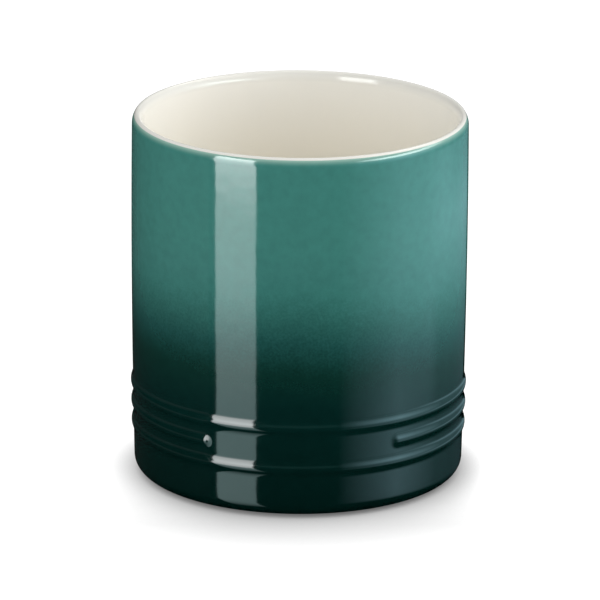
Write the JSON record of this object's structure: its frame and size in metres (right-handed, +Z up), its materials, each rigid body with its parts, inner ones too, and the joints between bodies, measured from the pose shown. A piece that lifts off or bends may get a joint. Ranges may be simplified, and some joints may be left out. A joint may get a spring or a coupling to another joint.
{
  "type": "utensil crock",
  "caption": "Tall round stoneware utensil crock, open at the top, with a rounded lip, glossy ombre green glaze, cream liner and raised rings round its foot.",
  "frame": {"origin": "on the table, at the middle of the foot ring", "axes": "+Z up along the crock's axis, -Y to the front, where the middle ring stops"},
  "size_m": [0.1406, 0.1406, 0.154],
  "materials": {
    "stoneware": "bare fired clay, fine matte grain",
    "ombre_glaze": "glossy, mid green at the lip fading to nearly black green at the foot, finely speckled",
    "cream_glaze": "glossy cream",
    "dark_glaze": "glossy, nearly black green"
  },
  "bodies": {
    "root": {"stoneware_body": "stoneware", "outer_glaze": "ombre_glaze", "liner_glaze": "cream_glaze", "base_glaze": "dark_glaze"}
  },
  "joints": []
}
